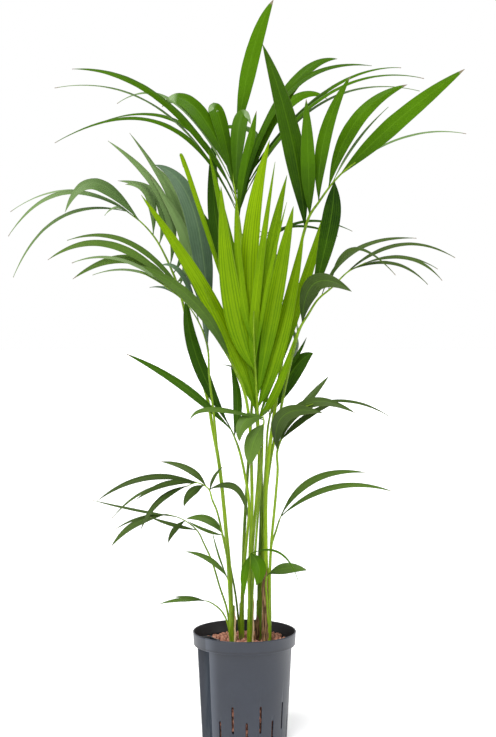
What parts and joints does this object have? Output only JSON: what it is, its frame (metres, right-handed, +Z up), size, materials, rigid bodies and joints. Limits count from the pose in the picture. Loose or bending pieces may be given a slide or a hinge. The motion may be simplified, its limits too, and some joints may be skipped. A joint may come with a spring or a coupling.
{
  "type": "potted palm",
  "caption": "Tall kentia palm with arching feather leaves in a round grey culture pot of clay pebbles.",
  "frame": {"origin": "middle of the pot's base, on the surface it stands on", "axes": "+Z up, -Y towards the front of the picture, +X to its right"},
  "size_m": [0.8106, 0.5311, 1.3084],
  "materials": {
    "pot_plastic": "satin slate grey",
    "clay": "matt baked clay",
    "stalk": "smooth, waxy",
    "leaf": "satin, waxy",
    "young_leaf": "satin, waxy"
  },
  "bodies": {
    "root": {"culture_pot": "pot_plastic", "clay_pebbles": "clay", "palm_1_stalks": "stalk", "palm_2_stalks": "stalk", "palm_3_stalks": "stalk", "palm_4_stalks": "stalk", "palm_5_stalks": "stalk", "leaf_crown": "leaf", "leaf_left_high": "leaf", "leaf_left_mid": "leaf", "leaf_left_inner": "leaf", "leaf_left_low": "leaf", "leaf_right_low": "leaf", "leaf_front_low": "leaf", "leaf_back_low": "leaf", "leaf_young": "young_leaf", "leaf_right_high": "leaf", "leaf_right_mid": "leaf", "leaf_knee_left": "leaf", "leaf_knee_back": "leaf", "leaf_stub_left": "leaf", "leaf_ankle_left": "leaf", "leaf_foot_left": "leaf", "leaf_split_right": "leaf", "leaf_ankle_right": "leaf", "leaf_ankle_front": "leaf", "leaf_back_high": "leaf"}
  },
  "joints": []
}
